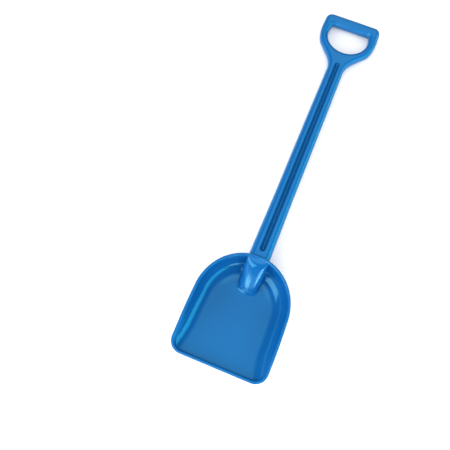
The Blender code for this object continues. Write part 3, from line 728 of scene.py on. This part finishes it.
def groove_cutter(side):
    """Slot with round ends and softened edges, for the front (+1) or the back (-1)."""
    outline = []
    start_half, end_half = GROOVE_START_WIDTH / 2, GROOVE_END_WIDTH / 2
    for angle in np.linspace(-180, 0, 2 * GROOVE_END_STEPS + 1):
        outline.append((start_half, GROOVE_START_Y + start_half, math.radians(angle)))
    for angle in np.linspace(0, 180, 2 * GROOVE_END_STEPS + 1):
        outline.append((end_half, GROOVE_END_Y - end_half, math.radians(angle)))

    def ring(grow, sink):
        """One level of the slot, grown by grow and sink(y) below the shaft's face."""
        points = []
        for radius, centre_y, angle in outline:
            x = (radius + grow) * math.cos(angle)
            y = centre_y + (radius + grow) * math.sin(angle)
            points.append((x, y, centre_z(y) + side * (thickness(y) / 2 - sink(y))))
        return np.array(points)

    rings = [ring(GROOVE_EDGE, lambda y: -GROOVE_EDGE)]
    for angle in np.radians(np.linspace(0, 90, GROOVE_EDGE_STEPS + 1)):
        sink = GROOVE_EDGE * (1 - math.cos(angle))
        rings.append(ring(GROOVE_EDGE * (1 - math.sin(angle)), lambda y, sink=sink: sink))
    for angle in np.radians(GROOVE_ROUND_ANGLES):
        inward = (GROOVE_END_WIDTH / 2) * (1 - math.cos(angle))
        share = GROOVE_DEPTH_SHARE * math.sin(angle)
        rings.append(ring(-inward, lambda y, share=share: share * thickness(y)))
    if side > 0:
        rings.reverse()
    vertices, faces = stack_rings(rings)
    return add_mesh("groove", vertices, faces)


def make_handle(material):
    """D-grip, grooved shaft and tenon in one piece."""
    handle = handle_body()
    apply_boolean(handle, "UNION", tenon_solid(0.0, TENON_ROOT_Y))
    for side in (1, -1):
        apply_boolean(handle, "DIFFERENCE", groove_cutter(side))
    for y in SCREW_YS.values():
        apply_boolean(handle, "DIFFERENCE", screw_hole(y))
    add_piece(handle, "handle", material, PLASTIC_SHARP_DEG)


# ---------------------------------------------------------------- screws

def screw_profile():
    """Radius and height of the screw's turned shape, from the head's dome to the tip."""
    profile = []
    for angle in np.radians(SCREW_DOME_ANGLES):
        dome = 1 - SCREW_DOME_SHARE + SCREW_DOME_SHARE * math.cos(angle)
        profile.append((SCREW_HEAD_RADIUS * math.sin(angle), -SCREW_HEAD_HEIGHT * dome))
    profile += [(SCREW_HEAD_RADIUS, -SCREW_HEAD_CHAMFER), (SCREW_HEAD_RADIUS - SCREW_HEAD_CHAMFER, 0.0)]
    profile.append((SCREW_SHANK_RADIUS, 0.0))
    for start in np.arange(SCREW_PITCH, SCREW_SHANK_LENGTH - SCREW_TIP_LENGTH - FIT_GAP, SCREW_PITCH):
        profile.append((SCREW_SHANK_RADIUS - SCREW_THREAD_DEPTH, start))
        profile.append((SCREW_SHANK_RADIUS, start + SCREW_PITCH / 2))
    profile.append((SCREW_SHANK_RADIUS * SCREW_TIP_SHARE, SCREW_SHANK_LENGTH - SCREW_TIP_LENGTH))
    profile.append((SCREW_TIP_RADIUS, SCREW_SHANK_LENGTH))
    return profile


def recess_cutter(turned, y, top):
    """One bar of the cross recess, narrower towards its bottom."""
    size = SCREW_RECESS_HALF_SIZE[::-1] if turned else SCREW_RECESS_HALF_SIZE
    rings = []
    for depth, share in SCREW_RECESS_LEVELS:
        half_x, half_y = size[0] * share, size[1] * share
        z = top - SCREW_HEAD_HEIGHT + depth
        rings.append(np.array([(half_x * a, y + half_y * b, z) for a, b in SQUARE]))
    vertices, faces = stack_rings(rings)
    return add_mesh("recess", vertices, faces)


def make_screw(node, y, material):
    """Pan-head self-tapping screw, pointing up, with a cross recess in the head below."""
    top = SOCKET_FLOOR_Z - FIT_GAP
    vertices, faces = stack_rings(turned_rings(screw_profile(), y, top, SCREW_SIDES))
    screw = add_mesh(node + "_steel", vertices, faces)
    for turned in (False, True):
        apply_boolean(screw, "DIFFERENCE", recess_cutter(turned, y, top))
    add_piece(screw, node, material, SCREW_SHARP_DEG)


# ---------------------------------------------------------------- materials

BLADE_COLOUR = (0.003, 0.092, 0.300)
HANDLE_COLOUR = (0.004, 0.100, 0.315)
PLASTIC_IOR = 1.49
PLASTIC_GLOSS_TINT = (0.26, 0.86, 1.0)
PLASTIC_ROUGHNESS = (0.10, 0.17)
FLOW_DARKENING = 0.93
FLOW_RANGE = (0.35, 0.65)
SCUFF_RANGE = (0.45, 0.75)
PEEL_STRENGTH = 0.06
PEEL_DEPTH = 0.0002
# scale, detail, stretch and turn of the textures
FLOW_NOISE = (9, 3, (1, 0.35, 1))
SCUFF_NOISE = (160, 5, (1, 0.04, 1), 0.35)
PEEL_NOISE = (1400, 2)
ZINC_PATCH_SCALE = 900
ZINC_PATCH_DETAIL = 4
ZINC_COLOURS = ((0.52, 0.51, 0.47), (0.72, 0.72, 0.70))
ZINC_ROUGHNESS = (0.25, 0.45)
TABLE_COLOUR = (0.93, 0.93, 0.93)
TABLE_ROUGHNESS = 0.8
RANGE_SOCKETS = ("From Min", "From Max", "To Min", "To Max")


def new_material(name):
    """Empty node material with its shader and a helper that adds nodes."""
    material = bpy.data.materials.new(name)
    material.use_nodes = True
    return material, material.node_tree.nodes, material.node_tree.links


def moulded_plastic(name, colour):
    """Blue polypropylene: even colour with faint flow, fine orange peel, hairline scuffs."""
    material, nodes, links = new_material(name)
    shader = nodes["Principled BSDF"]
    shader.inputs["IOR"].default_value = PLASTIC_IOR
    shader.inputs["Specular Tint"].default_value = (*PLASTIC_GLOSS_TINT, 1)
    place = nodes.new("ShaderNodeTexCoord").outputs["Object"]

    def noise(scale, detail, stretch=(1, 1, 1), turn=0.0):
        mapping = nodes.new("ShaderNodeMapping")
        mapping.inputs["Scale"].default_value = stretch
        mapping.inputs["Rotation"].default_value = (0, 0, turn)
        links.new(place, mapping.inputs["Vector"])
        texture = nodes.new("ShaderNodeTexNoise")
        texture.inputs["Scale"].default_value = scale
        texture.inputs["Detail"].default_value = detail
        links.new(mapping.outputs["Vector"], texture.inputs["Vector"])
        return texture.outputs["Fac"]

    def ramp(value, low, high, low_colour, high_colour):
        node = nodes.new("ShaderNodeValToRGB")
        node.color_ramp.elements[0].position = low
        node.color_ramp.elements[1].position = high
        node.color_ramp.elements[0].color = (*low_colour, 1)
        node.color_ramp.elements[1].color = (*high_colour, 1)
        links.new(value, node.inputs["Fac"])
        return node.outputs["Color"]

    def remap(value, low, high, to_low, to_high):
        node = nodes.new("ShaderNodeMapRange")
        for socket, number in zip(RANGE_SOCKETS, (low, high, to_low, to_high)):
            node.inputs[socket].default_value = number
        links.new(value, node.inputs["Value"])
        return node.outputs["Result"]

    darker = tuple(c * FLOW_DARKENING for c in colour)
    links.new(ramp(noise(*FLOW_NOISE), *FLOW_RANGE, darker, colour), shader.inputs["Base Color"])
    links.new(remap(noise(*SCUFF_NOISE), *SCUFF_RANGE, *PLASTIC_ROUGHNESS), shader.inputs["Roughness"])
    peel = nodes.new("ShaderNodeBump")
    peel.inputs["Strength"].default_value = PEEL_STRENGTH
    peel.inputs["Distance"].default_value = PEEL_DEPTH
    links.new(noise(*PEEL_NOISE), peel.inputs["Height"])
    links.new(peel.outputs["Normal"], shader.inputs["Normal"])
    return material


def zinc_steel():
    """Zinc-plated screw: pale grey metal, duller in patches."""
    material, nodes, links = new_material("screw_zinc")
    shader = nodes["Principled BSDF"]
    shader.inputs["Metallic"].default_value = 1.0
    place = nodes.new("ShaderNodeTexCoord").outputs["Object"]
    patches = nodes.new("ShaderNodeTexNoise")
    patches.inputs["Scale"].default_value = ZINC_PATCH_SCALE
    patches.inputs["Detail"].default_value = ZINC_PATCH_DETAIL
    links.new(place, patches.inputs["Vector"])
    tint = nodes.new("ShaderNodeValToRGB")
    for element, colour in zip(tint.color_ramp.elements, ZINC_COLOURS):
        element.color = (*colour, 1)
    links.new(patches.outputs["Fac"], tint.inputs["Fac"])
    links.new(tint.outputs["Color"], shader.inputs["Base Color"])
    dull = nodes.new("ShaderNodeMapRange")
    dull.inputs["To Min"].default_value, dull.inputs["To Max"].default_value = ZINC_ROUGHNESS
    links.new(patches.outputs["Fac"], dull.inputs["Value"])
    links.new(dull.outputs["Result"], shader.inputs["Roughness"])
    return material


def pale_table():
    """Plain white table top."""
    material, nodes, _ = new_material("pale_table")
    shader = nodes["Principled BSDF"]
    shader.inputs["Roughness"].default_value = TABLE_ROUGHNESS
    shader.inputs["Base Color"].default_value = (*TABLE_COLOUR, 1)
    return material


# ---------------------------------------------------------------- scene

TABLE_HALF_SIZE = 3.0
CAMERA_AT = (0.03380, -0.00004, 0.87039)
CAMERA_AIM = (-0.06081, 0.18379, 0.020)
CAMERA_ROLL_DEG = 22.76
CAMERA_LENS_MM = 50.76
LEAST_AHEAD = 0.001


def make_camera():
    """Camera above the scoop, rolled so that the shovel leans to the right."""
    data = bpy.data.cameras.new("camera")
    data.lens = CAMERA_LENS_MM
    camera = bpy.data.objects.new("camera", data)
    bpy.context.scene.collection.objects.link(camera)
    at = Vector(CAMERA_AT) + Vector((0, FRONT_Y, 0))
    aim = Vector(CAMERA_AIM) + Vector((0, FRONT_Y, 0))
    forward = (aim - at).normalized()
    right = forward.cross(Vector((0, 1, 0))).normalized()
    upward = right.cross(forward)
    roll = math.radians(CAMERA_ROLL_DEG)
    up = upward * math.cos(roll) - right * math.sin(roll)
    across = right * math.cos(roll) + upward * math.sin(roll)
    rotation = Matrix((across, up, -forward)).transposed()
    camera.matrix_world = Matrix.Translation(at) @ rotation.to_4x4()
    bpy.context.scene.camera = camera


def add_area_light(name, at, size, power):
    """Soft rectangular light aimed at the origin, for matt shading only."""
    data = bpy.data.lights.new(name, "AREA")
    data.shape = "RECTANGLE"
    data.size, data.size_y = size
    data.energy = power
    light = bpy.data.objects.new(name, data)
    bpy.context.scene.collection.objects.link(light)
    light.location = at
    light.rotation_euler = (-Vector(at)).to_track_quat("-Z", "Y").to_euler()
    light.visible_glossy = False


class StudioSky:
    """Node tree of the surroundings: an even glow for matt light, soft boxes for reflections."""

    def __init__(self):
        world = bpy.data.worlds.new("surroundings")
        bpy.context.scene.world = world
        world.use_nodes = True
        self.nodes = world.node_tree.nodes
        self.links = world.node_tree.links
        self.direction = self.nodes.new("ShaderNodeTexCoord").outputs["Generated"]

    def connect(self, item, socket):
        """Feed a socket with another node's output or with a constant."""
        if isinstance(item, bpy.types.NodeSocket):
            self.links.new(item, socket)
        else:
            socket.default_value = item

    def value(self, operation, a, b=0.0):
        """Output of one maths node."""
        node = self.nodes.new("ShaderNodeMath")
        node.operation = operation
        self.connect(a, node.inputs[0])
        self.connect(b, node.inputs[1])
        return node.outputs["Value"]

    def vector(self, operation, a, b, output="Vector"):
        """Output of one vector maths node; for SCALE, b is the factor."""
        node = self.nodes.new("ShaderNodeVectorMath")
        node.operation = operation
        self.connect(a, node.inputs[0])
        self.connect(b, node.inputs["Scale"] if operation == "SCALE" else node.inputs[1])
        return node.outputs[output]

    def along(self, axis):
        """Component of the looked-at direction along an axis."""
        return self.vector("DOT_PRODUCT", self.direction, axis, "Value")

    def window(self, value, half, soft):
        """1 where the value lies between -half and half, fading to 0 over the soft margin."""
        node = self.nodes.new("ShaderNodeMapRange")
        node.interpolation_type = "SMOOTHSTEP"
        for socket, number in zip(RANGE_SOCKETS, (half, half + soft, 1, 0)):
            node.inputs[socket].default_value = number
        self.links.new(self.value("ABSOLUTE", value), node.inputs["Value"])
        return node.outputs["Result"]

    def soft_box(self, azimuth, tilt, half_width, half_height, soft, turn_deg, colour):
        """Rectangular light at an azimuth and a tilt from the zenith, turned in its own plane."""
        turn, lean, spin = math.radians(azimuth), math.radians(tilt), math.radians(turn_deg)
        centre = Vector((math.cos(turn), math.sin(turn), 0)) * math.sin(lean)
        centre.z = math.cos(lean)
        level = Vector((-math.sin(turn), math.cos(turn), 0))
        across = level * math.cos(spin) + centre.cross(level) * math.sin(spin)
        ahead = self.value("MAXIMUM", self.along(centre), LEAST_AHEAD)
        shape = 1.0
        for axis, half in ((across, half_width), (centre.cross(across), half_height)):
            place = self.value("DIVIDE", self.along(axis), ahead)
            edge = self.window(place, math.tan(math.radians(half)), math.tan(math.radians(soft)))
            shape = self.value("MULTIPLY", edge, shape)
        return self.vector("SCALE", colour, shape)

    def finish(self, glow, reflected):
        """Even glow for everything but reflections, which see the summed soft boxes."""
        mirror = self.nodes.new("ShaderNodeLightPath").outputs["Is Glossy Ray"]
        matt = self.value("MULTIPLY", self.value("SUBTRACT", 1.0, mirror), glow)
        even = self.vector("SCALE", (1, 1, 1), matt)
        total = self.vector("ADD", even, self.vector("SCALE", reflected, mirror))
        background = self.nodes["Background"]
        background.inputs["Strength"].default_value = 1.0
        self.links.new(total, background.inputs["Color"])


SOFT_BOXES = (
    # azimuth, tilt, half width, half height, soft edge, turn, colour
    (90, 22, 11, 21, 16, 0, (1.9, 1.9, 1.9)),
    (270, 3, 9, 4, 4, 0, (1.4, 1.4, 1.4)),
    (234, 46, 20, 17, 3, 0, (7.0, 7.0, 7.0)),
    (260, 84, 8, 11, 3, 0, (9.0, 9.0, 9.0)),
    (303, 84, 10, 10, 3, 0, (9.0, 9.0, 9.0)),
    (270, 88, 70, 14, 8, 0, (2.6, 2.6, 2.6)),
    (180, 84, 32, 12, 14, 0, (1.0, 1.0, 1.0)),
    (0, 67, 36, 17, 3, 0, (1.0, 5.0, 5.5)),
)
MATT_LIGHTS = (
    # name, position, size, power
    ("key", (-0.9, -0.6, 0.55), (0.6, 0.5), 9),
    ("front_fill", (0.45, -1.1, 0.42), (0.9, 0.5), 9),
    ("side_fill", (1.1, 0.0, 0.5), (0.9, 0.5), 3),
)
GLOW = 1.25
REFLECTED_BASE = (0.08, 0.08, 0.08)


def make_studio():
    """White table, white surroundings with soft boxes, and a soft light from the left."""
    mesh = bpy.data.meshes.new("table")
    corners = [(x * TABLE_HALF_SIZE, y * TABLE_HALF_SIZE, 0) for x, y in SQUARE]
    mesh.from_pydata(corners, [], [(0, 1, 2, 3)])
    table = bpy.data.objects.new("table", mesh)
    bpy.context.scene.collection.objects.link(table)
    mesh.materials.append(pale_table())
    sky = StudioSky()
    reflected = REFLECTED_BASE
    for box in SOFT_BOXES:
        reflected = sky.vector("ADD", sky.soft_box(*box), reflected)
    sky.finish(GLOW, reflected)
    for name, at, size, power in MATT_LIGHTS:
        add_area_light(name, at, size, power)
    bpy.context.scene.view_settings.view_transform = "Standard"


make_blade(moulded_plastic("blade_blue", BLADE_COLOUR))
make_handle(moulded_plastic("handle_blue", HANDLE_COLOUR))
screw_material = zinc_steel()
for node_name, screw_y in SCREW_YS.items():
    make_screw(node_name, screw_y, screw_material)
make_camera()
make_studio()
